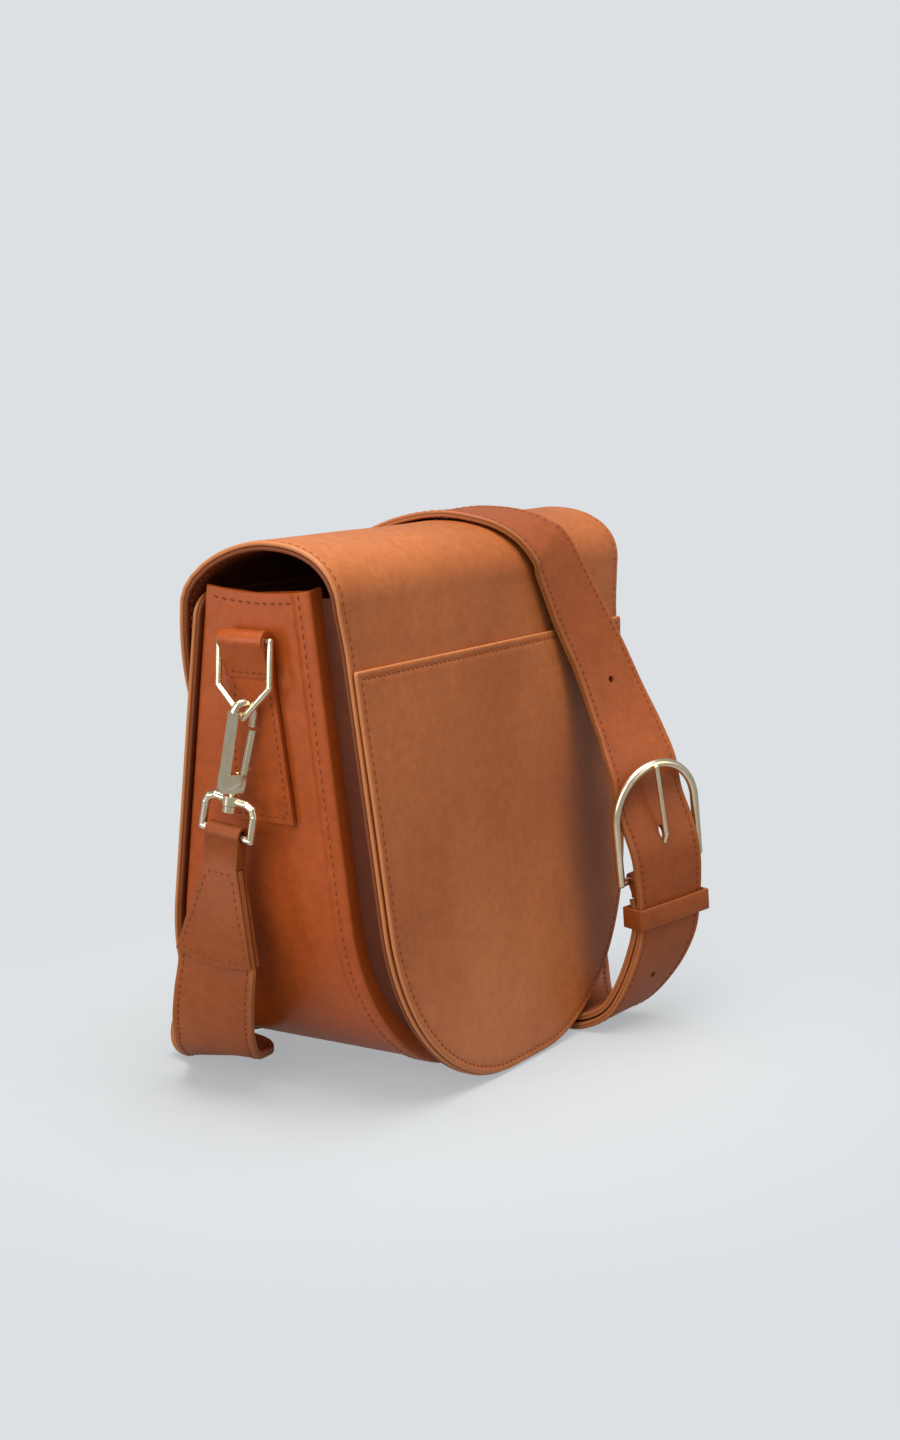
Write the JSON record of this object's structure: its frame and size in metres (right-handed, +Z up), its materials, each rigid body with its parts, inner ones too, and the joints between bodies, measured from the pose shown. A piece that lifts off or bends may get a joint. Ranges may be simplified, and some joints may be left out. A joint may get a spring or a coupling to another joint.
{
  "type": "sling bag",
  "caption": "Saddle-shaped crossbody bag with a fold-over flap, swivel-hook hangers and a wide buckled strap wrapped round it.",
  "frame": {"origin": "middle of the base on the floor plane", "axes": "+Z up, +Y towards the back panel with the slip pocket, +X towards the side that the long strap hooks on"},
  "size_m": [0.2554, 0.1881, 0.2456],
  "materials": {
    "leather": "satin",
    "strap_leather": "satin",
    "dark_leather": "satin",
    "lining": "matte",
    "board": "matte",
    "gold_hardware": "satin",
    "spring_steel": "satin"
  },
  "bodies": {
    "shell": {"front_panel": "leather", "front_backing": "lining", "main_gusset": "leather", "gusset_lining": "lining", "base_stiffener": "board", "base_patch": "dark_leather", "rear_gusset": "dark_leather", "back_panel": "leather", "back_lining": "lining", "slip_pocket": "leather", "pocket_seam": "leather", "front_snap": "gold_hardware", "front_snap_washer": "gold_hardware", "tab_left": "strap_leather", "tab_right": "strap_leather", "long_strap": "strap_leather", "buckle_strap": "strap_leather", "buckle_fold": "strap_leather", "keeper_loop": "strap_leather"},
    "flap": {"flap_outer": "leather", "flap_lining": "lining", "flap_snap": "gold_hardware"},
    "ring_left": {"ring_left": "gold_hardware"},
    "hook_left": {"hook_left": "gold_hardware", "gate_pin_left": "gold_hardware", "gate_spring_left": "spring_steel", "swivel_post_left": "gold_hardware"},
    "gate_left": {"gate_left": "gold_hardware"},
    "loop_left": {"swivel_loop_left": "gold_hardware", "strap_end_left": "strap_leather"},
    "ring_right": {"ring_right": "gold_hardware"},
    "hook_right": {"hook_right": "gold_hardware", "gate_pin_right": "gold_hardware", "gate_spring_right": "spring_steel", "swivel_post_right": "gold_hardware"},
    "gate_right": {"gate_right": "gold_hardware"},
    "loop_right": {"swivel_loop_right": "gold_hardware", "strap_end_right": "strap_leather"},
    "buckle_frame": {"buckle_frame": "gold_hardware"},
    "buckle_prong": {"buckle_prong": "gold_hardware"}
  },
  "joints": [
    {"name": "flap_hinge", "type": "hinge", "parent": "shell", "child": "flap", "pos_m": [0, 0.048, 0.2139], "axis": [-1, 0, 0], "range_deg": [0, 150], "deforming": ["long_strap"]},
    {"name": "ring_swing_left", "type": "hinge", "parent": "shell", "child": "ring_left", "pos_m": [0.11942, 0, 0.19952], "axis": [0, -1, 0], "range_deg": [0, 25], "deforming": ["long_strap"]},
    {"name": "hook_tilt_left", "type": "hinge", "parent": "ring_left", "child": "hook_left", "pos_m": [0.12109, 0, 0.16756], "axis": [1, 0, 0], "range_deg": [0, 22], "deforming": ["long_strap"]},
    {"name": "gate_left", "type": "hinge", "parent": "hook_left", "child": "gate_left", "pos_m": [0.11791, -0.00376, 0.13936], "axis": [0.4695, 0.8667, -0.1685], "range_deg": [0, 14], "stiffness_Nm_per_rad": 0.004, "springref_deg": -17.19},
    {"name": "swivel_left", "type": "hinge", "parent": "hook_left", "child": "loop_left", "pos_m": [0.12109, 0, 0.16756], "axis": [0, 0.1908, 0.9816], "range_deg": [-20, 20], "deforming": ["long_strap"]},
    {"name": "ring_swing_right", "type": "hinge", "parent": "shell", "child": "ring_right", "pos_m": [-0.11942, 0, 0.19952], "axis": [0, 1, 0], "range_deg": [0, 25], "deforming": ["buckle_strap"]},
    {"name": "hook_tilt_right", "type": "hinge", "parent": "ring_right", "child": "hook_right", "pos_m": [-0.12109, 0, 0.16756], "axis": [-1, 0, 0], "range_deg": [0, 22], "deforming": ["buckle_strap"]},
    {"name": "gate_right", "type": "hinge", "parent": "hook_right", "child": "gate_right", "pos_m": [-0.11791, 0.00376, 0.13936], "axis": [-0.4695, -0.8667, -0.1685], "range_deg": [0, 14], "stiffness_Nm_per_rad": 0.004, "springref_deg": -17.19},
    {"name": "swivel_right", "type": "hinge", "parent": "hook_right", "child": "loop_right", "pos_m": [-0.12109, 0, 0.16756], "axis": [0, -0.1908, 0.9816], "range_deg": [-20, 20], "deforming": ["buckle_strap"]},
    {"name": "buckle_swing", "type": "hinge", "parent": "shell", "child": "buckle_frame", "pos_m": [-0.0788, 0.0933, 0.0768], "axis": [-0.8936, 0.3978, 0.2079], "range_deg": [0, 35], "deforming": ["long_strap"]},
    {"name": "prong_lift", "type": "hinge", "parent": "buckle_frame", "child": "buckle_prong", "pos_m": [-0.0788, 0.0933, 0.0768], "axis": [-0.8936, 0.3978, 0.2079], "range_deg": [0, 55], "deforming": ["long_strap"]}
  ]
}
